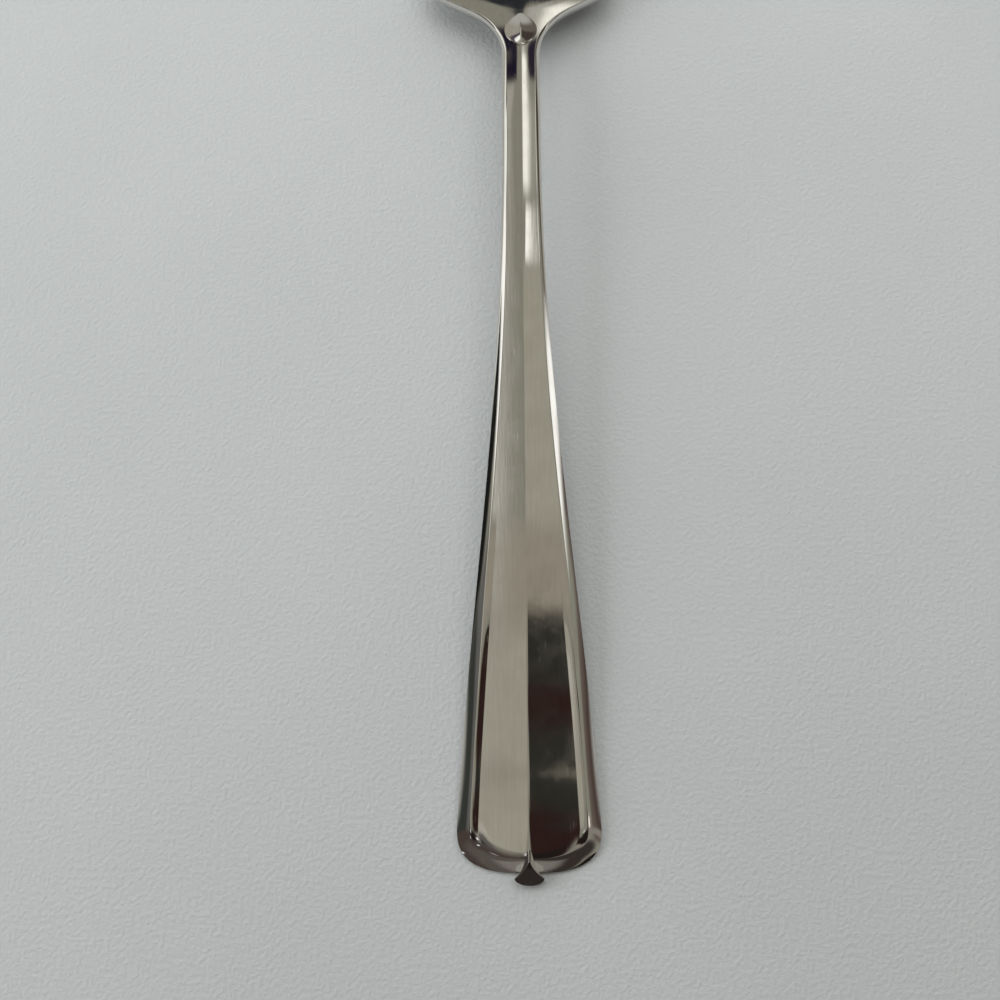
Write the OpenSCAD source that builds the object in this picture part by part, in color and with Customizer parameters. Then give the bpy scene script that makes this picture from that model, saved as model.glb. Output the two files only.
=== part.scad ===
// A meat fork of polished steel, lying face up. Its long axis is Y: the handle's end is
// at -Y and the tine tips are at +Y. Z is up, and the origin is on the table under the
// middle of the fork. Lengths along the fork are stations, measured from the handle's end.

/* [Handle] */
// Length from the handle's end to the neck
handle_length = 132; // [115:0.5:155]
// Width of the handle where its rounded end begins
handle_width = 21.1; // [17:0.1:25]
// Length of the rounded end
end_round = 7; // [5:0.5:9]
// Squareness of the rounded end
end_squareness = 2.8; // [2:0.1:4]
// Thickness at the border of the handle's end
handle_thickness = 1.9; // [1.7:0.1:2.8]
// How much thinner the very end is, as a share
end_thinning = 0.2; // [0:0.02:0.3]
// Length over which the end thins
end_thinning_length = 30; // [20:1:40]
// How far the face rolls down at the end
end_drop = 0.55; // [0.4:0.05:0.7]
// Length over which the face rolls down
end_drop_length = 9; // [7:0.5:14]
// Where the face starts to roll down, as a share of the way from the axis to the border
roll_start = 0.64; // [0.5:0.02:0.8]
// Squareness of the line along which the face starts to roll down
roll_squareness = 2.2; // [2:0.1:3]

/* [Stem] */
// Width of the stem
stem_width = 6.3; // [5:0.1:8]
// Thickness of the stem
stem_thickness = 3.2; // [2.6:0.1:4.2]
// Length of parallel stem next to the neck
stem_run = 13; // [8:1:20]

/* [Relief] */
// Slope of the two halves of the handle's face, in degrees
face_angle = 6.4; // [3:0.2:8]
// Slope of the two halves of the stem's face, in degrees
stem_face_angle = 4.8; // [2:0.2:8]
// Length over which the handle's crisp ridge softens into the stem
ridge_fade = 40; // [25:1:60]
// Rounding across the ridge's line on the handle
ridge_round = 0.1; // [0.05:0.05:0.3]
// Rounding across the ridge's line on the stem
stem_ridge_round = 0.8; // [0.3:0.1:1.2]
// Depth of the valleys beside the border thread at the handle's end
thread_height = 0.13; // [0.05:0.01:0.3]
// Depth of the valleys beside the border thread in the stem
stem_thread_height = 0.03; // [0.02:0.01:0.1]
// Distance from the handle's end at which the valleys reach the stem's depth
thread_reach = 54; // [45:1:80]
// Length over which the valleys change their depth
thread_fade = 26; // [15:1:40]
// Width of the thread's outer flank at the handle's end
flank_width = 2.05; // [1.5:0.05:2.8]
// Width of the thread's outer flank in the stem
stem_flank_width = 0.8; // [0.5:0.05:1]
// Fall of the outer flank from the thread to the edge at the handle's end
flank_drop = 1.05; // [0.6:0.05:1.2]
// Fall of the outer flank in the stem
stem_flank_drop = 0.45; // [0.3:0.05:0.8]
// Distance from the handle's end at which the outer flank's bevel has become a round shoulder
bevel_reach = 45; // [35:1:60]
// Length over which the bevel becomes a round shoulder
bevel_fade = 35; // [20:1:35]
// Width of the thread's inner flank at the handle's end
inner_flank_width = 1.15; // [0.7:0.05:1.6]
// Width of the thread's inner flank in the stem
stem_inner_flank_width = 0.6; // [0.3:0.05:0.8]
// Rounding of the back's edge on the handle
back_round = 0.9; // [0.5:0.1:1.4]
// Rounding of the back's edge on the stem
stem_back_round = 1.4; // [0.8:0.1:2]

/* [Finial] */
// Length of the trumpet-shaped finial over the handle's face
finial_length = 3.4; // [3:0.1:5]
// How far the finial reaches past the handle's end
finial_reach = 1.7; // [1:0.1:2.5]
// Width of the finial's flare
finial_width = 4.3; // [3.5:0.1:6]
// Step from the handle's ridge up to the finial's pointed start
finial_step = 0.08; // [0.06:0.02:0.2]
// How far the finial's ridge falls over its length
finial_drop = 0.25; // [0.1:0.05:0.4]
// Fall of the finial's flanks from its ridge, in degrees
finial_flank_angle = 13; // [8:1:18]
// Length of the finial's plain nose, which curves down to its rim
nose_length = 2.6; // [2:0.1:3.2]
// Thickness of the nose at its rim
nose_rim = 0.7; // [0.4:0.05:0.9]
// Height of the finial's underside over the back of the handle
finial_underside = 0.35; // [0.2:0.05:0.6]

/* [Leaf] */
// Distance from the neck to the leaf's lower point
leaf_start = 1.5; // [1:0.1:3]
// Length of the leaf on the neck
leaf_length = 7.4; // [5:0.1:9]
// Width of the leaf
leaf_width = 5.5; // [4:0.1:6]
// Height of the leaf's midrib over the neck
leaf_height = 0.7; // [0.3:0.05:0.9]
// Height of the leaf's rim over the neck
leaf_rim = 0.15; // [0.1:0.05:0.25]

/* [Head] */
// Width across the shoulders
head_width = 33; // [28:0.5:40]
// Length from the neck to the roots of the slots
palm_length = 30; // [27:1:38]
// Radius of the fillet between stem and shoulder
neck_radius = 11.5; // [7:0.5:12]
// Slope of the shoulder, in degrees from the fork's axis
shoulder_angle = 60; // [50:1:65]
// Radius of the shoulder's corner
shoulder_radius = 7; // [5:0.5:9]
// Thickness of the palm
palm_thickness = 2; // [1.6:0.1:2.6]
// Width of the palm's rounded rim
rim_width = 0.7; // [0.5:0.05:1]
// Height of the outermost line of the palm's rim, as a share of its thickness
edge_height = 0.45; // [0.3:0.05:0.6]
// Depth of the head's dish across its width
dish_depth = 0.8; // [0.4:0.1:1.6]

/* [Tines] */
// Length from the slot roots to the tips
tine_length = 46.5; // [38:0.5:55]
// Width of the slots next to their roots
slot_width = 4.3; // [3.4:0.1:5]
// Distance between the centres of the outer tips
tip_spread = 25; // [22:0.5:28]
// Width of a tine where its point begins
tip_width = 2.5; // [2:0.1:3.2]
// Length of the tine's point
point_length = 6; // [4:0.5:9]
// Thickness of a tine where its point begins
tip_thickness = 1.4; // [1.1:0.1:1.8]
// Width and thickness left at the very tip, as a share
tip_blunt = 0.25; // [0.15:0.05:0.4]
// Rounding of a tine's edges
tine_round = 0.5; // [0.3:0.05:0.55]

/* [Bends] */
// Length of the flat back that the handle rests on
rest_length = 14; // [10:1:24]
// Height of the stem's back over the table
stem_rise = 5.5; // [3:0.5:12]
// Distance from the slot roots to the lowest place of the tines
belly_offset = 12; // [6:1:20]
// Height of the tips' backs over the table
tip_rise = 8; // [4:0.5:14]

/* [Hidden] */
steel = [0.72, 0.71, 0.68];

// Stations along the fork
neck_s = handle_length;
crest_s = neck_s - stem_run;
root_s = neck_s + palm_length;
belly_s = root_s + belly_offset;
tip_s = root_s + tine_length;
middle_s = (tip_s - finial_reach) / 2;

// How finely the surfaces are divided
end_steps = 12;
handle_steps = 46;
neck_steps = 20;
palm_steps = 8;
tine_root_steps = 5;
tine_steps = 12;
point_steps = 6;
edge_steps = 4;
panel_steps = 5;
finial_steps = 14;
rib_steps = 6;
leaf_steps = 14;
// How deep the leaf reaches under the neck's face before it is cut to it
seat_depth = 0.3;
// How far the cutting block for the leaf goes on past it
seat_margin = 2;

function mix(a, b, t) = a + (b - a) * t;
function unit(t) = min(1, max(0, t));
function ease(t) = let (k = unit(t)) k * k * (3 - 2 * k);
// A climb from 0 to 1 that is straight but for a bend at its foot and a longer one at its top
foot_bend = 0.12;
top_bend = 0.3;
function ramp(t) = let (
        k = unit(t),
        climb = k < foot_bend ? k * k / foot_bend / 2 :
                k < 1 - top_bend ? k - foot_bend / 2 :
                1 - foot_bend / 2 - top_bend / 2 - pow(1 - k, 2) / top_bend / 2
    ) climb / (1 - foot_bend / 2 - top_bend / 2);
// A point of the fork from its distance off the axis, its station and its height
function place(x, s, z) = [x, s - middle_s, z];

// Plan outline of the handle: a slow taper into the parallel stem
taper_power = 2.5;
function taper_share(t) = pow(t, taper_power) * (3 - 2 * t);
stem_half = stem_width / 2;
butt_half = stem_half + (handle_width / 2 - stem_half) / taper_share((crest_s - end_round) / crest_s);
function taper(s) = stem_half + (butt_half - stem_half) * taper_share(max(0, (crest_s - s) / crest_s));

// Plan outline of the head: a fillet, a straight shoulder, its corner and sides drawn in to the tips
head_half = head_width / 2;
tip_half = (tip_spread + tip_width) / 2;
fillet_end_x = stem_half + neck_radius * (1 - cos(shoulder_angle));
fillet_end_s = neck_s + neck_radius * sin(shoulder_angle);
corner_x = head_half - shoulder_radius * (1 - cos(shoulder_angle));
corner_s = fillet_end_s + (corner_x - fillet_end_x) / tan(shoulder_angle);
side_s = corner_s + shoulder_radius * sin(shoulder_angle);
function head_outline(s) =
    s <= fillet_end_s ? stem_half + neck_radius - sqrt(pow(neck_radius, 2) - pow(s - neck_s, 2)) :
    s <= corner_s ? fillet_end_x + (s - fillet_end_s) * tan(shoulder_angle) :
    s <= side_s ? head_half - shoulder_radius + sqrt(pow(shoulder_radius, 2) - pow(side_s - s, 2)) :
    mix(head_half, tip_half, pow((s - side_s) / (tip_s - side_s), 2));
function half_width(s) = s <= neck_s ? taper(s) : head_outline(s);

// Height of the back over the table: flat at the handle's end, high at the stem, low at the belly
function back_z(s) =
    s <= rest_length ? 0 :
    s <= crest_s ? stem_rise * ramp((s - rest_length) / (crest_s - rest_length)) :
    s <= belly_s ? stem_rise * (1 - ease((s - crest_s) / (belly_s - crest_s))) :
    tip_rise * pow((s - belly_s) / (tip_s - belly_s), 2);

// Share of the handle's end, of the stem and of the head in the section at a station
function end_share(s) = (taper(s) - stem_half) / (butt_half - stem_half);
function head_share(s) = ease((s - neck_s) / (side_s - neck_s));
function along(at_end, at_stem, at_head, s) =
    mix(mix(at_stem, at_end, end_share(s)), at_head, head_share(s));
// The thickness starts to fall before the neck
function thinning(s) = ease((s - crest_s) / (side_s - crest_s));
function plate(s) = mix(mix(stem_thickness, handle_thickness, end_share(s)), palm_thickness, thinning(s));
function thread_share(s) = ease((thread_reach - s) / thread_fade);
function valley(s) = (1 - head_share(s)) * mix(stem_thread_height, thread_height, thread_share(s));
function flank(s) = along(flank_width, stem_flank_width, rim_width, s);
function inner_flank(s) = along(inner_flank_width, stem_inner_flank_width, rim_width, s);
function lower_round(s) = along(back_round, stem_back_round, rim_width, s);
function dish(x, s) = dish_depth * pow(x / head_half, 2) * head_share(s);
// Share of the thickness that is left near the end
function thin(s) = 1 - end_thinning * pow(max(0, 1 - s / end_thinning_length), 2);
// How far the face has rolled down near the rounded end
function rolled(x, ahead) = let (
        aside = abs(x) * 2 / handle_width,
        reach = pow(pow(aside, roll_squareness) + pow(ahead, roll_squareness), 1 / roll_squareness)
    ) pow(max(0, reach - roll_start) / (1 - roll_start), 2);
function roll(x, s) = end_drop * (rolled(x, unit(1 - s / end_drop_length)) - rolled(x, 0));

// Height of the outermost line of the edge, and how the outer flank falls to it: almost straight at
// the handle's end, rounder from there on, and as a quarter of an ellipse at the palm's rim
flank_power = 1.4;
stem_flank_power = 3;
function bevel(at_end, at_stem, s) = mix(at_stem, at_end, ease((bevel_reach - s) / bevel_fade));
function edge(s) = plate(s) -
    mix(bevel(flank_drop, stem_flank_drop, s), palm_thickness * (1 - edge_height), head_share(s));
function flank_share(a, s) =
    mix(1 - pow(sin(a), bevel(flank_power, stem_flank_power, s)), cos(a), head_share(s));

// Shares of the half width at which the thread's crest and the valley lie
function crest_share(s) = 1 - flank(s) / half_width(s);
function valley_share(s) = crest_share(s) - inner_flank(s) / half_width(s);
// The face between the valleys: a roof with a rounded ridge, which flattens out in the head
function crispness(s) = ease((crest_s - s) / ridge_fade);
function ridge(s) = (1 - head_share(s)) * valley_share(s) * half_width(s) *
    tan(mix(stem_face_angle, face_angle, crispness(s)));
function roof(share, s) = let (
        soft = mix(stem_ridge_round, ridge_round, crispness(s)) / half_width(s),
        run = sqrt(pow(share, 2) + pow(soft, 2)) - soft,
        whole = sqrt(pow(valley_share(s), 2) + pow(soft, 2)) - soft
    ) plate(s) - valley(s) + ridge(s) * (1 - run / whole);

// Half a section from the median line of the face, over the edge, to the median line of the back:
// each entry is a share of the half width, a height over the back, and 1 on the face or 0 on the back
function half_section(s) = let (
        crest = crest_share(s), edge_z = edge(s),
        under = lower_round(s) / half_width(s)
    ) concat(
        [for (k = [0:panel_steps]) let (u = valley_share(s) * k / panel_steps) [u, roof(u, s), 1]],
        [for (k = [0:edge_steps]) let (a = 90 * k / edge_steps, up = flank_share(a, s))
            [mix(crest, 1, sin(a)), mix(edge_z, plate(s), up), up]],
        [for (k = [1:edge_steps]) let (a = 90 * k / edge_steps)
            [1 - under * (1 - cos(a)), edge_z * (1 - sin(a)), 0]],
        [for (k = [1, 0]) [k * (1 - under) / 2, 0, 0]]
    );

// One side of the section at a station, as points
function column(s, side) = [for (p = half_section(s))
    let (x = side * p[0] * half_width(s)) place(x, s, back_z(s) + dish(x, s) + p[1] * thin(s) - p[2] * roll(x, s))];
// A column of the rounded end, at an angle from the median line: the section follows the outline round,
// and its thread fades into a plain rounded edge between two angles, the last a little before the sides
thread_gone = 45;
thread_rest = 2;
thread_whole = 90 - thread_rest;
end_power = 1.8;
function end_column(angle) = let (
        ahead = pow(cos(angle), 2 / end_squareness),
        aside = pow(abs(sin(angle)), 2 / end_squareness),
        thread = ease((abs(angle) - thread_gone) / (thread_whole - thread_gone)),
        section = half_section(end_round),
        valley = valley_share(end_round), low = roof(valley * aside, end_round)
    ) [for (i = [0:len(section) - 1]) let (
        share = section[i][0], height = section[i][1], face = section[i][2],
        s = end_round * (1 - share * ahead),
        x = sign(angle) * share * aside * taper(s),
        past = unit((share - valley) / (1 - valley)),
        plain = mix(low, edge(end_round), pow(past, end_power)),
        z = i <= panel_steps ? roof(share * aside, end_round) :
            face > 0 ? mix(plain, height, thread) : height
    ) place(x, s, z * thin(s) - face * roll(x, s))];

// A closed solid from rows of points: quads between rows, fans over the two ends where they are open
smallest_area = 0.0000001;
function has_area(t) = norm(cross(t[1] - t[0], t[2] - t[0])) > smallest_area;
function quad(a, b, c, d) = [for (t = [[a, b, c], [a, c, d]]) if (has_area(t)) t];
function sheet(rows) = [for (i = [0:len(rows) - 2], j = [0:len(rows[0]) - 2])
    each quad(rows[i][j], rows[i + 1][j], rows[i + 1][j + 1], rows[i][j + 1])];
function average(points) = [for (k = [0:2]) [for (p = points) p[k]] * [for (p = points) 1 / len(points)]];
function fan(ring) = let (c = average(ring)) [for (j = [0:len(ring) - 2])
    let (t = [c, ring[j], ring[j + 1]]) if (has_area(t)) t];
function reverse(list) = [for (i = [len(list) - 1:-1:0]) list[i]];
module solid(triangles) {
    polyhedron(points = [for (t = triangles) each t],
               faces = [for (i = [0:len(triangles) - 1]) [3 * i, 3 * i + 1, 3 * i + 2]], convexity = 8);
}
// A closed solid from rings, each of which ends where it starts
module loft(rings) {
    solid(concat(sheet(rings), fan(rings[0]), fan(reverse(rings[len(rings) - 1]))));
}

// A whole ring of the section at a station
function ring(s) = concat(column(s, 1), reverse(column(s, -1)));

end_columns = [for (i = [-end_steps:end_steps]) end_column(90 * i / end_steps)];
// The rounded end of the handle alone
module end_block() solid(concat(sheet(end_columns), fan(reverse(ring(end_round)))));

module handle() {
    stations = [for (i = [1:handle_steps]) mix(end_round, neck_s, i / handle_steps)];
    columns = concat(
        [for (s = reverse(stations)) column(s, -1)],
        end_columns,
        [for (s = stations) column(s, 1)]
    );
    color(steel) solid(concat(sheet(columns), fan(reverse(ring(neck_s)))));
}

head_stations = concat(
    [for (i = [0:neck_steps]) mix(neck_s, side_s, i / neck_steps)],
    [for (i = [1:palm_steps]) mix(side_s, root_s, i / palm_steps)]
);
module head() color(steel) loft([for (s = head_stations) ring(s)]);

// The finial: a ridge from the face to past the end, with flanks that sweep out to a flare,
// and a plain nose that cuts the ridge off between the flare's tips
flare_at = 0.8;
flare_power = 4;
early_share = 0.45;
nose_at = 1 - nose_length / (finial_length + finial_reach);
function flare(t) = t < flare_at ? 1 : sqrt(max(0, 1 - pow((t - flare_at) / (1 - flare_at), 2)));
function finial_half(t) = let (k = min(1, t / flare_at))
    finial_width / 2 * mix(pow(k, flare_power), sqrt(k), early_share) * flare(t);
function finial_s(t) = mix(finial_length, -finial_reach, t);
function finial_ridge(t) = roof(0, end_round) * thin(max(0, finial_s(t))) + finial_step - finial_drop * pow(t, 2);
function nose_z(t) = mix(finial_ridge(nose_at), finial_underside + nose_rim,
    pow((t - nose_at) / (1 - nose_at), 2));
function finial_z(x, t) = let (
        flank = finial_ridge(t) - tan(finial_flank_angle) * (sqrt(pow(x, 2) + pow(ridge_round, 2)) - ridge_round)
    ) t < nose_at ? flank : min(flank, nose_z(t));
function finial_ring(t) = let (
        s = finial_s(t), half = finial_half(t),
        side = concat(
            [for (k = [0:rib_steps]) let (x = half * k / rib_steps) [x, finial_z(x, t)]],
            [[half, finial_underside], [0, finial_underside]]
        )
    ) concat([for (p = side) place(p[0], s, p[1])], [for (p = reverse(side)) place(-p[0], s, p[1])]);
module end_finial() color(steel) difference() {
    loft([for (i = [finial_steps:-1:0]) finial_ring(i / finial_steps)]);
    end_block();
}

// The leaf: a pointed oval with a midrib, standing on the neck's face
leaf_fullness = 0.8;
rib_fullness = 0.8;
function face_z(x, s) = back_z(s) + dish(x, s) + roof(abs(x) / half_width(s), s);
function leaf_ring(t) = let (
        s = neck_s + leaf_start + t * leaf_length,
        half = leaf_width / 2 * pow(sin(180 * t), leaf_fullness),
        rib = leaf_height * pow(sin(180 * t), rib_fullness),
        rim = min(rib, leaf_rim),
        side = concat(
            [for (k = [0:edge_steps]) let (q = k / edge_steps) [q * half, mix(rib, rim, q)]],
            [[half, -seat_depth], [0, -seat_depth]]
        )
    ) concat([for (p = side) place(p[0], s, face_z(p[0], s) + p[1])],
             [for (p = reverse(side)) place(-p[0], s, face_z(p[0], s) + p[1])]);
leaf_end_s = neck_s + leaf_start + leaf_length;
// The part of the head under the leaf alone
module neck_block() loft([for (s = head_stations) if (s < leaf_end_s + seat_margin) ring(s)]);
module neck_leaf() color(steel) difference() {
    loft([for (i = [0:leaf_steps]) leaf_ring(i / leaf_steps)]);
    neck_block();
}

// The slots: their middles, and half their width from the round root outwards.
// At the roots they leave four tines of one width, and at the tips the gaps between the points
root_pitch = (2 * half_width(root_s) + slot_width) / 4;
tip_pitch = tip_spread / 3;
slot_radius = slot_width / 2;
function tine_share(s) = unit((s - root_s - slot_radius) / (tine_length - slot_radius));
function slot_middle(k, s) = k * mix(root_pitch, tip_pitch, tine_share(s));
function slot_half(s) = let (d = root_s + slot_radius - s)
    d > 0 ? sqrt(max(0, pow(slot_radius, 2) - pow(d, 2))) :
    mix(slot_radius, (tip_pitch - tip_width) / 2, tine_share(s));
point_s = tip_s - point_length;
function point_share(s) = s <= point_s ? 1 :
    mix(tip_blunt, 1, sqrt(max(0, 1 - pow((s - point_s) / point_length, 2))));
function tine_thickness(s) = mix(palm_thickness, tip_thickness, unit((s - root_s) / (point_s - root_s)));

// The sides of a tine, numbered from 0 at the left, before its point narrows
function tine_left(n, s) = n == 0 ? -half_width(s) : slot_middle(n - 2, s) + slot_half(s);
function tine_right(n, s) = n == 3 ? half_width(s) : slot_middle(n - 1, s) - slot_half(s);
// A tine's corners are numbered from 0 at the right of the face to 3 at the right of the back.
// The outer side of an outer tine goes on from the palm's rim; the others start sharp where the tines part
function is_right(corner) = corner == 0 || corner == 3;
function is_outer(n, corner) = is_right(corner) ? n == 3 : n == 0;
function corner_width(n, corner, part) = mix(is_outer(n, corner) ? rim_width : 0, tine_round, part);
function rim_height(corner) = palm_thickness * (corner < 2 ? 1 - edge_height : edge_height);
function corner_height(n, corner, part) = mix(is_outer(n, corner) ? rim_height(corner) : 0, tine_round, part);
// Greatest share of a half width or half thickness that a corner may take
corner_share = 0.92;
// A tine's section: a rounded bar that follows the dish and thins out at the point
function tine_ring(n, s) = let (
        middle = (tine_left(n, s) + tine_right(n, s)) / 2,
        half = (tine_right(n, s) - tine_left(n, s)) / 2 * point_share(s),
        thick = tine_thickness(s) * point_share(s),
        low = back_z(s) + (tine_thickness(s) - thick) / 2,
        part = unit((s - root_s) / slot_radius)
    ) [for (corner = [3:-1:0], k = [edge_steps:-1:0]) let (
            a = 90 * (corner + k / edge_steps),
            wide = min(corner_width(n, corner, part), corner_share * half),
            high = min(corner_height(n, corner, part), corner_share * thick / 2 + (1 - part) * thick),
            x = middle + (is_right(corner) ? 1 : -1) * (half - wide) + wide * cos(a),
            z = (corner < 2 ? thick - high : high) + high * sin(a)
        ) place(x, s, low + dish(x, s) + z)];
tine_stations = concat(
    [for (i = [0:tine_root_steps]) root_s + slot_radius * (1 - cos(90 * i / tine_root_steps))],
    [for (i = [1:tine_steps]) mix(root_s + slot_radius, point_s, i / tine_steps)],
    [for (i = [1:point_steps]) point_s + point_length * sin(90 * i / point_steps)]
);
module tine(n) color(steel) loft([for (s = tine_stations) let (r = tine_ring(n, s)) concat(r, [r[0]])]);

handle();
end_finial();
neck_leaf();
head();
tine(0);  // outer_tine_left
tine(1);  // inner_tine_left
tine(2);  // inner_tine_right
tine(3);  // outer_tine_right
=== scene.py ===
import math

import bmesh
import bpy
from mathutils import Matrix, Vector


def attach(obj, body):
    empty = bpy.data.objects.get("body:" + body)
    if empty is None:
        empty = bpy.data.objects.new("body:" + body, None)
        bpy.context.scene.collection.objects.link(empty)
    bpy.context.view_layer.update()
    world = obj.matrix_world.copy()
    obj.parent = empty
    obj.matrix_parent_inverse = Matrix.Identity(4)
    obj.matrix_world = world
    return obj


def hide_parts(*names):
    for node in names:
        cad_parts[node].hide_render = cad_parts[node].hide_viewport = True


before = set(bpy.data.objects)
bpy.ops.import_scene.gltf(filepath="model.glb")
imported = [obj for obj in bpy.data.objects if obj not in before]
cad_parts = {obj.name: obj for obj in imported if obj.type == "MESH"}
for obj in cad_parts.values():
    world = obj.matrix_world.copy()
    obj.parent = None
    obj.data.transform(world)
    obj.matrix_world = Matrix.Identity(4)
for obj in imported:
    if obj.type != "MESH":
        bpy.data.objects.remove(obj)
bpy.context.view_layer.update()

MM = 0.001

# Sizes of the blank: lengths in millimetres, beside shares, slopes and the powers of curves
HANDLE_LENGTH = 132.0
HANDLE_WIDTH = 21.1
END_ROUND = 7.0
END_SQUARENESS = 2.8
HANDLE_THICKNESS = 1.9
# Share of the thickness that the end loses, and over which length
END_THINNING = 0.2
END_THINNING_LENGTH = 30.0
# How far the end's face rolls down, from which share of its reach, and the share that its rim takes
END_DROP = 0.55
END_DROP_LENGTH = 9.0
ROLL_START = 0.64
ROLL_SQUARENESS = 2.2
RIM_ROLL = 0.38
STEM_WIDTH = 6.3
STEM_THICKNESS = 3.2
STEM_RUN = 13.0
# The ridge, and the panels that slope away from it
FACE_SLOPE = math.tan(math.radians(6.4))
STEM_FACE_SLOPE = math.tan(math.radians(4.8))
RIDGE_FADE = 40.0
RIDGE_ROUND = 0.1
STEM_RIDGE_ROUND = 0.8
# The raised thread along the edge, with a flank on both sides
THREAD_HEIGHT = 0.13
THREAD_REACH = 54.0
THREAD_FADE = 26.0
FLANK_WIDTH = 2.05
STEM_FLANK_WIDTH = 0.8
FLANK_DROP = 1.05
STEM_FLANK_DROP = 0.45
FLANK_POWER = 1.4
STEM_FLANK_POWER = 1.6
BEVEL_REACH = 45.0
BEVEL_FADE = 35.0
INNER_FLANK_WIDTH = 1.15
STEM_INNER_FLANK_WIDTH = 0.6
# Height of the palm's edge, as a share of its thickness
EDGE_HEIGHT = 0.45
BACK_ROUND = 0.9
STEM_BACK_ROUND = 1.4
FINIAL_LENGTH = 3.4
FINIAL_REACH = 1.7
FINIAL_WIDTH = 4.3
FINIAL_STEP = 0.08
FINIAL_DROP = 0.25
FINIAL_FLANK_SLOPE = math.tan(math.radians(13))
NOSE_LENGTH = 4.2
NOSE_RIM = 0.7
FINIAL_UNDERSIDE = 0.35
LEAF_START = 1.5
LEAF_LENGTH = 7.4
LEAF_WIDTH = 5.5
LEAF_HEIGHT = 0.7
LEAF_RIM = 0.15
HEAD_WIDTH = 33.0
PALM_LENGTH = 30.0
NECK_RADIUS = 11.5
SHOULDER_ANGLE = math.radians(60)
SHOULDER_RADIUS = 7.0
PALM_THICKNESS = 2.0
RIM_WIDTH = 0.7
DISH_DEPTH = 0.8
TINE_LENGTH = 46.5
SLOT_WIDTH = 4.3
TIP_SPREAD = 25.0
TIP_WIDTH = 2.5
POINT_LENGTH = 6.0
TIP_THICKNESS = 1.4
# Share of a tine's width that its point keeps
TIP_BLUNT = 0.25
TINE_ROUND = 0.5
REST_LENGTH = 14.0
STEM_RISE = 5.5
BELLY_OFFSET = 12.0
TIP_RISE = 8.0

# Stations along the fork, from the handle's end
NECK = HANDLE_LENGTH
CREST = NECK - STEM_RUN
ROOT = NECK + PALM_LENGTH
BELLY = ROOT + BELLY_OFFSET
TIP = ROOT + TINE_LENGTH
POINT = TIP - POINT_LENGTH
MIDDLE = (TIP - FINIAL_REACH) / 2


def mix(a, b, t):
    return a + (b - a) * t


def unit(t):
    return min(1.0, max(0.0, t))


def ease(t):
    k = unit(t)
    return k * k * (3 - 2 * k)


# A climb from 0 to 1 that is straight but for a bend at its foot and a longer one at its top
FOOT_BEND = 0.1
TOP_BEND = 0.3


def ramp(t):
    k = unit(t)
    whole = 1 - FOOT_BEND / 2 - TOP_BEND / 2
    if k < FOOT_BEND:
        return k * k / FOOT_BEND / 2 / whole
    if k < 1 - TOP_BEND:
        return (k - FOOT_BEND / 2) / whole
    return 1 - (1 - k) ** 2 / TOP_BEND / 2 / whole


def place(x, s, z):
    """The point at x to the right, at station s and z over the table, in metres."""
    return Vector((x * MM, (s - MIDDLE) * MM, z * MM))


# Plan outline
STEM_HALF = STEM_WIDTH / 2
HEAD_HALF = HEAD_WIDTH / 2
TIP_HALF = (TIP_SPREAD + TIP_WIDTH) / 2
TAPER_POWER = 2.5


def taper_share(t):
    return t**TAPER_POWER * (3 - 2 * t)


BUTT_HALF = STEM_HALF + (HANDLE_WIDTH / 2 - STEM_HALF) / taper_share((CREST - END_ROUND) / CREST)


def taper(s):
    return STEM_HALF + (BUTT_HALF - STEM_HALF) * taper_share(max(0.0, (CREST - s) / CREST))


FILLET_END_X = STEM_HALF + NECK_RADIUS * (1 - math.cos(SHOULDER_ANGLE))
FILLET_END = NECK + NECK_RADIUS * math.sin(SHOULDER_ANGLE)
CORNER_X = HEAD_HALF - SHOULDER_RADIUS * (1 - math.cos(SHOULDER_ANGLE))
CORNER = FILLET_END + (CORNER_X - FILLET_END_X) / math.tan(SHOULDER_ANGLE)
SIDE = CORNER + SHOULDER_RADIUS * math.sin(SHOULDER_ANGLE)


def half_width(s):
    if s <= NECK:
        return taper(s)
    if s <= FILLET_END:
        return STEM_HALF + NECK_RADIUS - math.sqrt(NECK_RADIUS**2 - (s - NECK) ** 2)
    if s <= CORNER:
        return FILLET_END_X + (s - FILLET_END) * math.tan(SHOULDER_ANGLE)
    if s <= SIDE:
        return HEAD_HALF - SHOULDER_RADIUS + math.sqrt(SHOULDER_RADIUS**2 - (SIDE - s) ** 2)
    return mix(HEAD_HALF, TIP_HALF, ((s - SIDE) / (TIP - SIDE)) ** 2)


# Side profile
def back_z(s):
    if s <= REST_LENGTH:
        return 0.0
    if s <= CREST:
        return STEM_RISE * ramp((s - REST_LENGTH) / (CREST - REST_LENGTH))
    if s <= BELLY:
        return STEM_RISE * (1 - ease((s - CREST) / (BELLY - CREST)))
    return TIP_RISE * ((s - BELLY) / (TIP - BELLY)) ** 2


def end_share(s):
    return (taper(s) - STEM_HALF) / (BUTT_HALF - STEM_HALF)


def head_share(s):
    return ease((s - NECK) / (SIDE - NECK))


def along(at_end, at_stem, at_head, s):
    return mix(mix(at_stem, at_end, end_share(s)), at_head, head_share(s))


def plate(s):
    thinning = ease((s - CREST) / (SIDE - CREST))
    return mix(mix(STEM_THICKNESS, HANDLE_THICKNESS, end_share(s)), PALM_THICKNESS, thinning)


def dish(x, s):
    return DISH_DEPTH * (x / HEAD_HALF) ** 2 * head_share(s)


def thin(s):
    """Share of the thickness that is left near the end."""
    return 1 - END_THINNING * max(0.0, 1 - s / END_THINNING_LENGTH) ** 2


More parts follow.
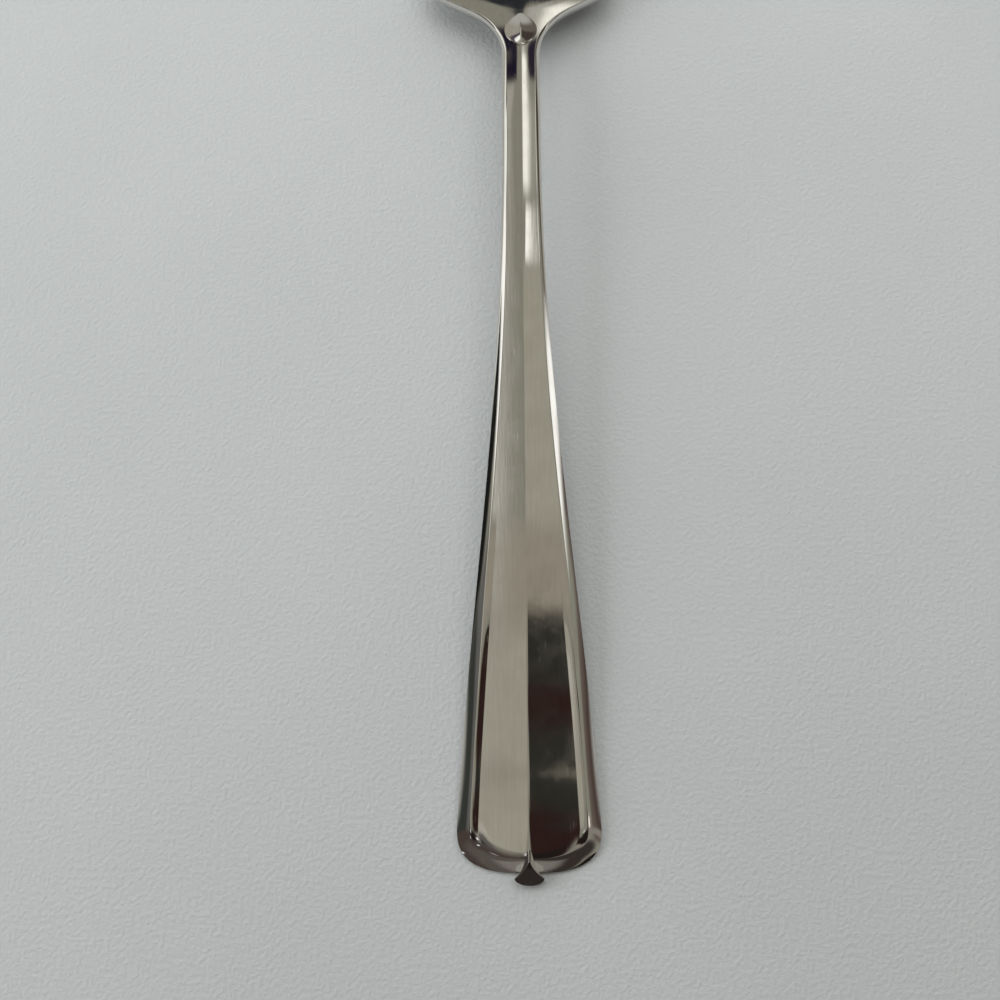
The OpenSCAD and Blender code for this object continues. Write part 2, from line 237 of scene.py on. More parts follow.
def rolled(x, ahead):
    """Share of the end's drop at a distance from the axis, and at a share of the drop's length."""
    aside = abs(x) * 2 / HANDLE_WIDTH
    reach = (aside**ROLL_SQUARENESS + ahead**ROLL_SQUARENESS) ** (1 / ROLL_SQUARENESS)
    return (max(0.0, reach - ROLL_START) / (1 - ROLL_START)) ** 2


def roll(x, s):
    """How far the face has rolled down near the rounded end."""
    return END_DROP * (rolled(x, unit(1 - s / END_DROP_LENGTH)) - rolled(x, 0.0))


# A straight rise from a crease to a crest that is rounded over its last part
CREST_POWER = 4


def rise(t):
    return (t - t**CREST_POWER / CREST_POWER) / (1 - 1 / CREST_POWER)


class Section:
    """The blank's section at one station."""

    def __init__(self, s):
        self.half = half_width(s)
        self.plate = plate(s)
        self.thread = ease((THREAD_REACH - s) / THREAD_FADE)
        self.crest_share = 1 - along(FLANK_WIDTH, STEM_FLANK_WIDTH, RIM_WIDTH, s) / self.half
        inner = along(INNER_FLANK_WIDTH, STEM_INNER_FLANK_WIDTH, RIM_WIDTH, s)
        self.valley_share = self.crest_share - inner / self.half
        crispness = ease((CREST - s) / RIDGE_FADE)
        slope = mix(STEM_FACE_SLOPE, FACE_SLOPE, crispness)
        self.ridge = (1 - head_share(s)) * self.valley_share * self.half * slope
        self.soft = mix(STEM_RIDGE_ROUND, RIDGE_ROUND, crispness) / self.half
        # Beyond the thread, the face runs on to the edge
        span = math.hypot(self.valley_share, self.soft)
        self.whole_run = span - self.soft
        fall = self.ridge / self.whole_run * self.valley_share / span
        self.valley = mix(fall * (self.valley_share - self.crest_share), THREAD_HEIGHT, self.thread)
        self.under = along(BACK_ROUND, STEM_BACK_ROUND, RIM_WIDTH, s) / self.half
        rim_drop = PALM_THICKNESS * (1 - EDGE_HEIGHT)
        bevel = ease((BEVEL_REACH - s) / BEVEL_FADE)
        flank_drop = mix(STEM_FLANK_DROP, FLANK_DROP, bevel)
        self.flank_power = mix(STEM_FLANK_POWER, FLANK_POWER, bevel)
        self.edge = self.plate - mix(flank_drop, rim_drop, head_share(s))
        self.rounding = head_share(s)

    def roof(self, share):
        """Height of the ridged panel at a share of the half width."""
        run = math.hypot(share, self.soft) - self.soft
        return self.plate - self.valley + self.ridge * (1 - run / self.whole_run)

    def point(self, row):
        """Share of the half width, height over the back, and the share of the end's roll it takes."""
        zone, t = row
        if zone == "panel":
            share = self.valley_share * t
            return share, self.roof(share), 1.0
        if zone == "inner":
            share = mix(self.valley_share, self.crest_share, t)
            low = self.roof(self.valley_share)
            return share, mix(low, self.plate, mix(t, rise(t), self.thread)), 1.0
        turn = math.radians(90 * t)
        if zone == "outer":
            aside = math.sin(turn)
            up = mix(1 - aside**self.flank_power, max(0.0, math.cos(turn)), self.rounding)
            share = mix(self.crest_share, 1, aside)
            return share, mix(self.edge, self.plate, up), mix(RIM_ROLL, 1, up)
        if zone == "under":
            up = 1 - math.sin(turn)
            return 1 - self.under * (1 - math.cos(turn)), self.edge * up, RIM_ROLL * up
        return (1 - self.under) * (1 - t), 0.0, 0.0


def steps(count, power=1.0):
    return [(k / count) ** power for k in range(count + 1)]


# Rows of the half section from the ridge over the edge to the middle of the back, closest at the creases
ROWS = (
    [("panel", t) for t in steps(26, 1.7)[:-1] + [0.975, 0.993, 1.0]]
    + [("inner", t) for t in [0.02, 0.07] + steps(14)[2:]]
    + [("outer", t) for t in steps(22, 1.4)[1:]]
    + [("under", t) for t in steps(10)[1:]]
    + [("back", t) for t in steps(8)[1:]]
)


def column(s, side):
    section = Section(s)
    points = []
    for row in ROWS:
        share, height, face = section.point(row)
        x = side * share * section.half
        z = back_z(s) + dish(x, s) + height * thin(s) - face * roll(x, s)
        points.append(place(x, s, z))
    return points


# Round the end, the thread fades into a plain rounded edge between these angles from the median line
THREAD_GONE = 45
THREAD_WHOLE = 88
# How fast the plain rounded edge falls
END_POWER = 1.3


def end_column(degrees):
    """A column of the rounded end, at an angle from the median line."""
    section = Section(END_ROUND)
    angle = math.radians(abs(degrees))
    ahead = max(0.0, math.cos(angle)) ** (2 / END_SQUARENESS)
    aside = math.sin(angle) ** (2 / END_SQUARENESS)
    thread = ease((abs(degrees) - THREAD_GONE) / (THREAD_WHOLE - THREAD_GONE))
    valley = section.valley_share
    low = section.roof(valley * aside)
    points = []
    for row in ROWS:
        share, height, face = section.point(row)
        s = END_ROUND * (1 - share * ahead)
        x = math.copysign(share * aside * taper(s), degrees)
        past = unit((share - valley) / (1 - valley))
        rounded = mix(low, section.edge, past**END_POWER)
        if row[0] == "panel":
            height = section.roof(share * aside)
        elif row[0] == "inner":
            height = mix(rounded, mix(low, section.plate, rise(row[1])), thread)
        elif row[0] == "outer":
            height = mix(rounded, height, thread)
        points.append(place(x, s, height * thin(s) - face * roll(x, s)))
    return points


# Half the side of the square sheet that a piece is pressed from
SHEET_HALF = 0.5
# Edges that turn by more than this stay crisp
CRISP = math.radians(40)
# Points closer than this are one, in metres
MERGE = 1e-7


def stamp(name, columns):
    """A sheet of as many quads as the columns need, pressed onto their points; open ends are filled."""
    bm = bmesh.new()
    across, down = len(columns) - 1, len(columns[0]) - 1
    bmesh.ops.create_grid(bm, x_segments=across, y_segments=down, size=SHEET_HALF)
    for vertex in bm.verts:
        i = round((vertex.co.x + SHEET_HALF) * across)
        j = round((vertex.co.y + SHEET_HALF) * down)
        vertex.co = columns[i][j]
    bmesh.ops.remove_doubles(bm, verts=bm.verts, dist=MERGE)
    bmesh.ops.dissolve_degenerate(bm, edges=bm.edges, dist=MERGE)
    rims = [edge for edge in bm.edges if edge.is_boundary]
    bmesh.ops.holes_fill(bm, edges=rims, sides=0)
    bmesh.ops.recalc_face_normals(bm, faces=bm.faces)
    for face in bm.faces:
        face.smooth = True
    for edge in bm.edges:
        edge.smooth = edge.calc_face_angle(0.0) < CRISP
    return add_object(name, bm)


def add_object(name, bm):
    mesh = bpy.data.meshes.new(name)
    bm.to_mesh(mesh)
    bm.free()
    made = bpy.data.objects.new(name, mesh)
    bpy.context.scene.collection.objects.link(made)
    return made


# Distances between columns along the fork, and a short step next to a cut, which keeps its shading even
HANDLE_SPACING = 0.6
NECK_SPACING = 0.25
PALM_SPACING = 0.6
TINE_SPACING = 0.7
SEAM_STEP = 0.02
# Columns in a quarter turn of the handle's end
END_COLUMNS = 48


def stations(start, end, spacing):
    count = max(1, round((end - start) / spacing))
    inner = [mix(start, end, k / count) for k in range(1, count)]
    return [start, start + SEAM_STEP] + inner + [end - SEAM_STEP, end]


def make_handle():
    run = stations(END_ROUND, NECK, HANDLE_SPACING)[2:]
    turns = [90 * k / END_COLUMNS for k in range(-END_COLUMNS, END_COLUMNS + 1)]
    columns = [column(s, -1) for s in reversed(run)]
    columns += [end_column(a) for a in turns]
    columns += [column(s, 1) for s in run]
    return stamp("handle_piece", columns)


def ring(s):
    return column(s, 1) + column(s, -1)[::-1]


def make_head():
    rows = stations(NECK, SIDE, NECK_SPACING) + stations(SIDE, ROOT, PALM_SPACING)[1:]
    return stamp("head_piece", [ring(s) for s in rows])


def mirrored(side, s, base_z):
    """A ring at a station, from the points of its right side and the height that they stand on."""
    right = [place(x, s, base_z(x) + z) for x, z in side]
    left = [place(-x, s, base_z(x) + z) for x, z in reversed(side)]
    return right + left


# The finial: a ridge whose two flanks sweep out to a flare, cut off by a plain nose
FLARE_AT = 0.8
FLARE_POWER = 4
EARLY_SHARE = 0.45
NOSE_AT = 1 - NOSE_LENGTH / (FINIAL_LENGTH + FINIAL_REACH)
FINIAL_RINGS = 60
FINIAL_ROWS = 24


def flare(t):
    return 1.0 if t < FLARE_AT else math.sqrt(max(0.0, 1 - ((t - FLARE_AT) / (1 - FLARE_AT)) ** 2))


def finial_ridge(t):
    s = mix(FINIAL_LENGTH, -FINIAL_REACH, t)
    return Section(END_ROUND).roof(0) * thin(max(0.0, s)) + FINIAL_STEP - FINIAL_DROP * t**2


def finial_z(x, t):
    """The ridge's flanks, cut off between the flare's tips by the plain nose."""
    flank = finial_ridge(t) - FINIAL_FLANK_SLOPE * (math.hypot(x, RIDGE_ROUND) - RIDGE_ROUND)
    past = unit((t - NOSE_AT) / (1 - NOSE_AT))
    nose = mix(finial_ridge(NOSE_AT), FINIAL_UNDERSIDE + NOSE_RIM, past**2)
    return min(flank, nose) if past > 0 else flank


def make_finial():
    rings = []
    for k in range(FINIAL_RINGS + 1):
        t = math.sin(math.pi / 2 * k / FINIAL_RINGS)
        reach = min(1.0, t / FLARE_AT)
        half = FINIAL_WIDTH / 2 * mix(reach**FLARE_POWER, math.sqrt(reach), EARLY_SHARE) * flare(t)
        side = [(q * half, finial_z(q * half, t)) for q in steps(FINIAL_ROWS)]
        side += [(half, FINIAL_UNDERSIDE), (0, FINIAL_UNDERSIDE)]
        rings.append(mirrored(side, mix(FINIAL_LENGTH, -FINIAL_REACH, t), lambda x: 0.0))
    return stamp("finial_piece", rings)


# The leaf: a pointed oval whose lobes fall from a midrib to a low rim; it is seated in the neck's face
LEAF_SEAT = 0.3
LEAF_FULLNESS = 0.8
RIB_FULLNESS = 0.8
LOBE_POWER = 1.3
LEAF_RINGS = 80
LOBE_ROWS = 16
RIM_ROWS = 3


def face_z(x, s):
    section = Section(s)
    return back_z(s) + dish(x, s) + section.roof(abs(x) / section.half)


def make_leaf():
    rings = []
    for k in range(LEAF_RINGS + 1):
        t = k / LEAF_RINGS
        s = NECK + LEAF_START + t * LEAF_LENGTH
        bulge = math.sin(math.pi * t) if 0 < k < LEAF_RINGS else 0.0
        half = LEAF_WIDTH / 2 * bulge**LEAF_FULLNESS
        rib = LEAF_HEIGHT * bulge**RIB_FULLNESS
        rim = min(rib, LEAF_RIM)
        side = [(q * half, mix(rim, rib, (1 - q) ** LOBE_POWER)) for q in steps(LOBE_ROWS)]
        side += [(half, mix(rim, -LEAF_SEAT, q)) for q in steps(RIM_ROWS)[1:]]
        side += [(0, -LEAF_SEAT)]
        rings.append(mirrored(side, s, lambda x: face_z(x, s)))
    return stamp("leaf_piece", rings)


# The slots and the tines between them
TINES = ["outer_tine_left", "inner_tine_left", "inner_tine_right", "outer_tine_right"]
LAST_TINE = len(TINES) - 1
MIDDLE_SLOT = len(TINES) // 2
ROOT_PITCH = (2 * half_width(ROOT) + SLOT_WIDTH) / len(TINES)
TIP_PITCH = TIP_SPREAD / LAST_TINE
SLOT_RADIUS = SLOT_WIDTH / 2
# The most that a corner's rounding takes of a tine's half width or half thickness
CORNER_SHARE = 0.92
# Length over which a tip is rounded off
TIP_ROUND = 0.4
# Steps round a corner, over a flat side, along the slot's round root, the point and the tip's rounding
CORNER_STEPS = 8
FLAT_STEPS = 10
MOUTH_STEPS = 20
POINT_STEPS = 24
TIP_STEPS = 10


def slot_middle(k, s):
    """Where the slot that is k slots from the median line has its middle."""
    return k * mix(ROOT_PITCH, TIP_PITCH, unit((s - ROOT - SLOT_RADIUS) / (TINE_LENGTH - SLOT_RADIUS)))


def slot_half(s):
    ahead = ROOT + SLOT_RADIUS - s
    if ahead > 0:
        return math.sqrt(max(0.0, SLOT_RADIUS**2 - ahead**2))
    return mix(SLOT_RADIUS, (TIP_PITCH - TIP_WIDTH) / 2, unit(-ahead / (TINE_LENGTH - SLOT_RADIUS)))


def point_share(s):
    if s <= POINT:
        return 1.0
    share = mix(TIP_BLUNT, 1, math.sqrt(max(0.0, 1 - ((s - POINT) / POINT_LENGTH) ** 2)))
    past = (s - TIP + TIP_ROUND) / TIP_ROUND
    return share * math.sqrt(max(0.0, 1 - past**2)) if past > 0 else share


def tine_ring(n, s):
    left = -half_width(s) if n == 0 else slot_middle(n - MIDDLE_SLOT, s) + slot_half(s)
    right = half_width(s) if n == LAST_TINE else slot_middle(n + 1 - MIDDLE_SLOT, s) - slot_half(s)
    middle = (left + right) / 2
    half = (right - left) / 2 * point_share(s)
    full = mix(PALM_THICKNESS, TIP_THICKNESS, unit((s - ROOT) / (POINT - ROOT)))
    thick = full * point_share(s)
    low = back_z(s) + (full - thick) / 2
    part = unit((s - ROOT) / SLOT_RADIUS)
    highest = CORNER_SHARE * thick / 2 + (1 - part) * thick
    corners = []
    # From the upper right corner over the left ones to the lower right
    for corner in range(4):
        rightward = corner in (0, 3)
        upper = corner < 2
        outer = n == LAST_TINE if rightward else n == 0
        rim_high = PALM_THICKNESS * (1 - EDGE_HEIGHT if upper else EDGE_HEIGHT)
        wide = min(mix(RIM_WIDTH if outer else 0.0, TINE_ROUND, part), CORNER_SHARE * half)
        high = min(mix(rim_high if outer else 0.0, TINE_ROUND, part), highest)
        arc = []
        for k in range(CORNER_STEPS + 1):
            turn = math.radians(90 * (corner + k / CORNER_STEPS))
            x = middle + (1 if rightward else -1) * (half - wide) + wide * math.cos(turn)
            z = (thick - high if upper else high) + high * math.sin(turn)
            arc.append((x, z))
        corners.append(arc)
    outline = []
    for corner, arc in enumerate(corners):
        x0, z0 = arc[-1]
        x1, z1 = corners[(corner + 1) % 4][0]
        shares = steps(FLAT_STEPS)[1:-1]
        outline += arc + [(mix(x0, x1, t), mix(z0, z1, t)) for t in shares]
    outline.append(outline[0])
    return [place(x, s, low + dish(x, s) + z) for x, z in outline]


def quarter(count):
    """Angles that divide a quarter turn."""
    return [math.pi / 2 * k / count for k in range(count + 1)]


def make_tine(n, name):
    mouth = [ROOT + SLOT_RADIUS * (1 - math.cos(turn)) for turn in quarter(MOUTH_STEPS)]
    rows = mouth + stations(mouth[-1], POINT, TINE_SPACING)[2:-2]
    rows += [POINT + (POINT_LENGTH - TIP_ROUND) * k / POINT_STEPS for k in range(POINT_STEPS + 1)]
    rows += [TIP - TIP_ROUND * (1 - math.sin(turn)) for turn in quarter(TIP_STEPS)[1:]]
    return stamp(name, [tine_ring(n, s) for s in rows])


pieces = {
    "handle": make_handle(),
    "end_finial": make_finial(),
    "neck_leaf": make_leaf(),
    "head": make_head(),
}
for n, node in enumerate(TINES):
    pieces[node] = make_tine(n, node + "_piece")


class Tree:
    """A node tree with short ways to add and join nodes."""

    def __init__(self, tree):
        self.tree = tree

    def add(self, kind, inputs=(), **settings):
        """A node with its settings; inputs are sockets or values, by order or by name."""
        made = self.tree.nodes.new(kind)
        for key, value in settings.items():
            setattr(made, key, value)
        named = inputs.items() if isinstance(inputs, dict) else enumerate(inputs)
        for key, value in named:
            self.feed(made.inputs[key], value)
        return made

    def feed(self, socket, value):
        if isinstance(value, bpy.types.NodeSocket):
            self.tree.links.new(value, socket)
        else:
            socket.default_value = value

    def math(self, operation, *inputs):
        return self.add("ShaderNodeMath", inputs, operation=operation).outputs[0]

    def times(self, *factors):
        product = factors[0]
        for factor in factors[1:]:
            product = self.math("MULTIPLY", product, factor)
        return product

    def between(self, value, low, high, at_low=0.0, at_high=1.0):
        """A smooth change from one value at low to another at high."""
        limits = {"Value": value, "From Min": low, "From Max": high, "To Min": at_low, "To Max": at_high}
        return self.add("ShaderNodeMapRange", limits, interpolation_type="SMOOTHSTEP").outputs[0]

    def window(self, value, low, high, soft):
        """1 between low and high, with soft edges."""
        start = self.between(value, low - soft, low + soft)
        stop = self.between(value, high - soft, high + soft, 1.0, 0.0)
        return self.times(start, stop)

    def blend(self, factor, low, high):
        made = self.add("ShaderNodeMix", {"Factor": factor}, data_type="RGBA")
        self.feed(made.inputs["A"], low)
        self.feed(made.inputs["B"], high)
        return made.outputs["Result"]

    def noise(self, vector, scale, detail):
        made = self.add("ShaderNodeTexNoise", {"Vector": vector, "Scale": scale, "Detail": detail})
        return made.outputs[0]

    def stretched(self, vector, scale, turn=0.0):
        inputs = {"Vector": vector, "Rotation": (0, 0, math.radians(turn)), "Scale": scale}
        return self.add("ShaderNodeMapping", inputs).outputs[0]

    def bump(self, height, depth):
        made = self.add("ShaderNodeBump", {"Height": height, "Distance": depth, "Strength": 1.0})
        return made.outputs["Normal"]


# Most of a noise lies between these values
NOISE_LOW = 0.3
NOISE_HIGH = 0.7


def make_mottle():
    """Fine and broad unevenness of a surface, each from 0 to 1; the steel and the table share it."""
    group = bpy.data.node_groups.new("mottle", "ShaderNodeTree")
    group.interface.new_socket("Vector", in_out="INPUT", socket_type="NodeSocketVector")
    for name in ("Fine Scale", "Broad Scale"):
        group.interface.new_socket(name, in_out="INPUT", socket_type="NodeSocketFloat")
    for name in ("Fine", "Broad"):
        group.interface.new_socket(name, in_out="OUTPUT", socket_type="NodeSocketFloat")
    tree = Tree(group)
    given = tree.add("NodeGroupInput").outputs
    fine = tree.noise(given["Vector"], given["Fine Scale"], detail=3.0)
    broad = tree.noise(given["Vector"], given["Broad Scale"], detail=4.0)
    outputs = {
        "Fine": tree.between(fine, NOISE_LOW, NOISE_HIGH),
        "Broad": tree.between(broad, NOISE_LOW, NOISE_HIGH),
    }
    tree.add("NodeGroupOutput", outputs)
    return group


mottle = make_mottle()


def uneven(tree, vector, fine_scale, broad_scale):
    made = tree.add("ShaderNodeGroup", node_tree=mottle)
    tree.feed(made.inputs["Vector"], vector)
    tree.feed(made.inputs["Fine Scale"], fine_scale)
    tree.feed(made.inputs["Broad Scale"], broad_scale)
    return made.outputs


def make_material(name):
    material = bpy.data.materials.new(name)
    material.use_nodes = True
    tree = Tree(material.node_tree)
    vector = tree.add("ShaderNodeTexCoord").outputs["Object"]
    return material, tree, vector, material.node_tree.nodes["Principled BSDF"].inputs


STEEL = (0.72, 0.71, 0.68, 1)
WORN_STEEL = (0.65, 0.635, 0.6, 1)
# Feature sizes of the steel's unevenness, as counts per metre
SMEAR_SCALE = 260
SPECK_SCALE = 5200
POLISH_SCALE = 2600
SCRATCH_SCALE = 3200
# Width of a polishing line and of a scratch, as a share of its length
POLISH_STRETCH = 0.02
SCRATCH_STRETCH = 0.06
SCRATCH_TURNS = (28, -41, 74)
# Scratches show where their noise passes the first limits, in patches where the smears pass the second
SCRATCH_LIMITS = (0.73, 0.76)
PATCH_LIMITS = (0.35, 0.75)
# Roughness of the polish, of smears, and what a scratch adds
POLISH_ROUGHNESS = 0.045
SMEAR_ROUGHNESS = 0.075
SCRATCH_ROUGHNESS = 0.09
SMEAR_LIMITS = (0.2, 1.0)
POLISH_DEPTH = 1.2e-6


def make_steel():
    """Mirror-polished steel with polishing lines, smears and the fine scratches of use."""
    material, tree, vector, shader = make_material("polished_steel")
    lines = tree.noise(tree.stretched(vector, (1, POLISH_STRETCH, 1)), POLISH_SCALE, detail=3.0)
    smear = uneven(tree, vector, SPECK_SCALE, SMEAR_SCALE)["Broad"]
    scratches = 0.0
    for turn in SCRATCH_TURNS:
        streaks = tree.stretched(vector, (1, SCRATCH_STRETCH, 1), turn)
        field = tree.noise(streaks, SCRATCH_SCALE, detail=1.0)
        scratches = tree.math("MAXIMUM", tree.between(field, *SCRATCH_LIMITS), scratches)
    scratches = tree.times(scratches, tree.between(smear, *PATCH_LIMITS))
    polish = tree.between(lines, NOISE_LOW, NOISE_HIGH)
    wear = tree.math("MULTIPLY_ADD", polish, 0.5, tree.times(smear, 0.5))
    tree.feed(shader["Base Color"], tree.blend(wear, STEEL, WORN_STEEL))
    shader["Metallic"].default_value = 1
    gloss = tree.between(smear, *SMEAR_LIMITS, POLISH_ROUGHNESS, SMEAR_ROUGHNESS)
    tree.feed(shader["Roughness"], tree.math("MULTIPLY_ADD", scratches, SCRATCH_ROUGHNESS, gloss))
    tree.feed(shader["Normal"], tree.bump(lines, POLISH_DEPTH))
    return material


steel = make_steel()
for node, piece in pieces.items():
    piece.data.materials.append(steel)
    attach(piece, "root")
    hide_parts(node)

# The table: pale paint with a fine grain
PAINT = (0.58, 0.612, 0.625, 1)
PALE_PAINT = (0.63, 0.662, 0.672, 1)
GRAIN_SCALE = 1500
BLOTCH_SCALE = 18
GRAIN_SHARE = 0.4
BLOTCH_SHARE = 0.5
GRAIN_DEPTH = 4e-5
PAINT_ROUGHNESS = 0.55
# Half the table's side, in metres
TABLE_HALF = 3


def make_paint():
    material, tree, vector, shader = make_material("table_paint")
    surface = uneven(tree, vector, GRAIN_SCALE, BLOTCH_SCALE)
    blotches = tree.times(surface["Broad"], BLOTCH_SHARE)
    tint = tree.math("MULTIPLY_ADD", surface["Fine"], GRAIN_SHARE, blotches)
    tree.feed(shader["Base Color"], tree.blend(tint, PAINT, PALE_PAINT))
    shader["Roughness"].default_value = PAINT_ROUGHNESS
    tree.feed(shader["Normal"], tree.bump(surface["Fine"], GRAIN_DEPTH))
    return material


def make_table():
    bm = bmesh.new()
    bmesh.ops.create_grid(bm, x_segments=1, y_segments=1, size=TABLE_HALF)
    table = add_object("table", bm)
    table.data.materials.append(make_paint())


make_table()

# The room that the steel mirrors: a plain tone with soft-edged panels and lamps laid over it in turn
PLAIN = (128, 125, 113)
# Limits are degrees from straight up, across the fork to the right and along it to the tines
EDGE = 200
PANELS = [
    # name, limits across, limits along, softness across and along, colour as the steel shows it
    ("left wall", (-EDGE, -19), (-EDGE, 8), (2, 3), (92, 90, 87)),
    ("left corner", (-EDGE, -46), (-EDGE, 8), (6, 3), (51, 53, 49)),
    ("left doorway", (-EDGE, -40), (8, 45), (6, 2), (24, 24, 22)),
    ("right wall", (46, EDGE), (-EDGE, 30), (6, 8), (90, 80, 73)),
    ("right corner", (58, EDGE), (-EDGE, 40), (5, 6), (72, 60, 55)),
    ("ceiling on the left", (-20, -10), (-9, -0.3), (1, 1), (150, 146, 132)),
    ("bright ceiling strip", (-22, -16.3), (-6, 4), (0.7, 2), (166, 161, 150)),
    ("front wall on the right", (2, 19), (4, 20), (3, 1.5), (149, 145, 131)),
    ("warm ceiling", (-20, 19), (-0.5, 5), (2, 1), (139, 132, 118)),
    ("dark board overhead", (8.8, 14.4), (-12, -0.02), (0.5, 0.25), (40, 40, 35)),
    ("rear on the left", (-EDGE, 3), (-EDGE, -14), (3, 6), (69, 60, 55)),
    ("rear on the right", (4, 22), (-30, -2.4), (3, 0.8), (42, 27, 24)),
    ("rear in the middle", (-12, 18), (-36, -11), (3, 3), (30, 25, 23)),
    ("low rear", (-EDGE, EDGE), (-EDGE, -40), (1, 8), (84, 78, 73)),
    ("low rear board", (-6, 6), (-68, -30), (2, 4), (44, 39, 36)),
    ("low rear on the right", (9, 50), (-64, -36), (4, 6), (52, 46, 43)),
    ("front glow on the left", (-22, -14.9), (0, 46), (0.5, 2), (156, 152, 141)),
    ("front edge on the right", (14.8, 24), (8, 46), (0.5, 3), (117, 116, 106)),
    ("far wall on the left", (-60, -24), (42, 80), (5, 4), (148, 143, 131)),
    ("far wall on the right", (20, 60), (42, 80), (5, 4), (96, 90, 82)),
    ("far corner on the right", (24, 60), (36, 52), (3, 3), (62, 54, 48)),
    ("far board on the left", (-19, -12.5), (47.5, 58), (0.8, 1.5), (27, 22, 36)),
    ("far board on the right", (13.6, 22), (47.5, 58), (0.8, 1.5), (36, 31, 42)),
    ("far corner on the left", (-38, -22), (39.5, 47), (3, 2), (72, 64, 72)),
    ("side lamp on the left", (-52, -23.5), (31.5, 41), (2, 2), (244, 244, 235)),
    ("far lamp on the left", (-78, -45), (41, 66), (3, 2), (238, 239, 228)),
    ("far screen", (-8, 2.5), (57.3, 66), (0.8, 0.8), (38, 40, 43)),
    ("glow over the lamp", (2.5, 9), (53, 57.5), (1.5, 1), (163, 160, 151)),
    ("lamp ahead", (2.5, 12), (26.5, 54), (1.8, 1.3), (240, 238, 224)),
    ("small lamp ahead", (9.5, 12.8), (20.3, 25.2), (0.8, 0.7), (250, 246, 236)),
    ("rear board on the left", (-30, -23.5), (-15, -6), (1, 1), (60, 54, 50)),
    ("rear window on the right", (24, 62), (-23, -10), (3, 4), (128, 122, 115)),
    ("low lamp on the right", (26, 38), (-9, -3.5), (1.5, 1), (232, 222, 212)),
    ("lamp behind", (-11, -5), (-14.5, -10.5), (1.5, 1), (240, 238, 234)),
    ("low lamp behind", (-27, -23.5), (-29, -24), (1, 1.2), (248, 246, 242)),
]
# A straight lamp tube on each side; its lengths are as on a flat ceiling one length above the table
TUBES = [
    # side, slope along the fork, lower and upper limit, where it starts and ends
    (-1, 0.45, -0.03, 0.25, 0.3, 9),
    (1, 0.36, -0.08, 0.1, 0.5, 9),
]
TUBE_COLOUR = (252, 250, 243)
TUBE_SOFT = 0.05
# The least height of a direction that still meets that ceiling
CEILING_LOW = 0.05
# Near the horizon the room is pale, and less so where a direction points back along the fork
HORIZON = (162, 161, 154)
REAR_HORIZON = (116, 111, 105)
HORIZON_LOW = math.sin(math.radians(15))
HORIZON_HIGH = math.sin(math.radians(26))
REAR_WHOLE = -0.95
REAR_GONE = -0.7
# Past the table's edge there is a plain backdrop
BACKDROP = (0.3, 0.305, 0.3, 1)


def seen(colour):
    """The light that shows as a display colour once the steel mirrors it."""
    linear = [((part / 255 + 0.055) / 1.055) ** 2.4 for part in colour]
    return tuple(part / metal for part, metal in zip(linear, STEEL)) + (1,)


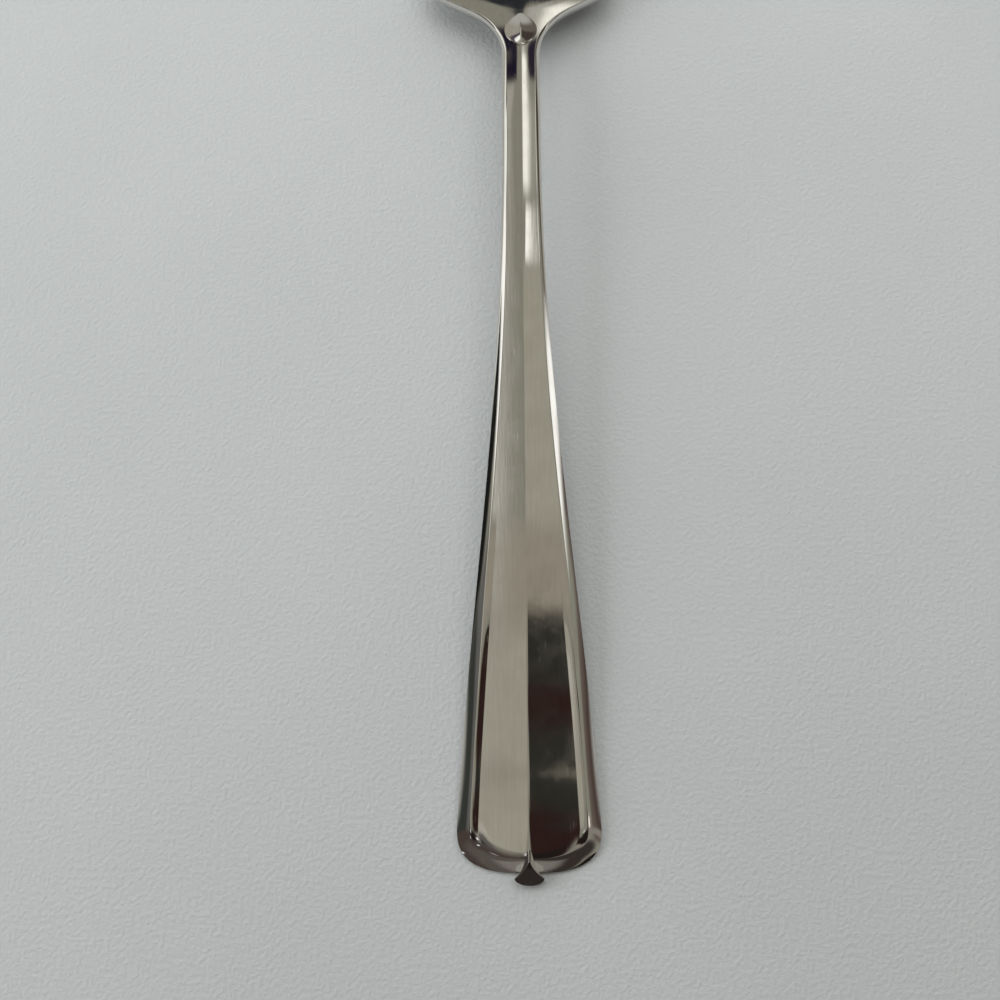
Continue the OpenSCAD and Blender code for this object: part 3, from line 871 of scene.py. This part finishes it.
def make_room():
    world = bpy.data.worlds.new("room")
    bpy.context.scene.world = world
    world.use_nodes = True
    tree = Tree(world.node_tree)
    direction = tree.add("ShaderNodeTexCoord").outputs["Generated"]
    x, y, z = tree.add("ShaderNodeSeparateXYZ", [direction]).outputs
    to_right = tree.math("DEGREES", tree.math("ARCTAN2", x, z))
    to_tines = tree.math("DEGREES", tree.math("ARCTAN2", y, z))
    colour = seen(PLAIN)
    for name, across, lengthways, soft, shade in PANELS:
        width = tree.window(to_right, *across, soft[0])
        length = tree.window(to_tines, *lengthways, soft[1])
        mask = tree.times(width, length)
        mask.node.label = name
        colour = tree.blend(mask, colour, seen(shade))
    up = tree.math("MAXIMUM", z, CEILING_LOW)
    for side, slope, low, high, start, stop in TUBES:
        out = tree.times(tree.math("DIVIDE", x, up), side)
        height = tree.math("MULTIPLY_ADD", out, -slope, tree.math("DIVIDE", y, up))
        length = tree.window(out, start, stop, TUBE_SOFT)
        mask = tree.times(length, tree.window(height, low, high, TUBE_SOFT))
        colour = tree.blend(mask, colour, seen(TUBE_COLOUR))
    rear = tree.between(y, REAR_WHOLE, REAR_GONE, 1.0, 0.0)
    horizon = tree.blend(rear, seen(HORIZON), seen(REAR_HORIZON))
    colour = tree.blend(tree.between(z, HORIZON_LOW, HORIZON_HIGH, 1.0, 0.0), colour, horizon)
    backdrop = tree.add("ShaderNodeLightPath").outputs["Is Camera Ray"]
    colour = tree.blend(backdrop, colour, BACKDROP)
    tree.feed(world.node_tree.nodes["Background"].inputs["Color"], colour)


make_room()

LIGHTS = [
    # name, where it stands and what it points at in millimetres, side in metres, power in watts
    ("light_left", (-480, 80, 200), (0, 90, 0), 0.35, 1.6),
    ("light_ahead", (100, 340, 240), (30, 150, 0), 0.5, 0.88),
]


def add_soft_light(name, spot, aim, size, power):
    """A broad light that the steel doesn't mirror."""
    data = bpy.data.lights.new(name, "AREA")
    data.size = size
    data.energy = power
    light = bpy.data.objects.new(name, data)
    light.location = place(*spot)
    light.rotation_euler = (place(*aim) - place(*spot)).to_track_quat("-Z", "Y").to_euler()
    light.visible_glossy = False
    bpy.context.scene.collection.objects.link(light)


for light_values in LIGHTS:
    add_soft_light(*light_values)

# The camera: its place in millimetres, and its turns about X, Y and Z and its field of view in degrees
CAMERA_PLACE = (3.0, 7.0, 184)
CAMERA_TURNS = (15, 2.27, -0.226)
FIELD_OF_VIEW = 45
SENSOR_WIDTH = 36
# The nearest distance that the camera sees, in metres
CLIP_START = 0.005


def make_camera():
    data = bpy.data.cameras.new("camera")
    data.sensor_width = SENSOR_WIDTH
    data.lens = SENSOR_WIDTH / 2 / math.tan(math.radians(FIELD_OF_VIEW / 2))
    data.clip_start = CLIP_START
    camera = bpy.data.objects.new("camera", data)
    camera.location = place(*CAMERA_PLACE)
    camera.rotation_euler = [math.radians(turn) for turn in CAMERA_TURNS]
    bpy.context.scene.collection.objects.link(camera)
    bpy.context.scene.camera = camera


make_camera()
bpy.context.scene.view_settings.view_transform = "Standard"
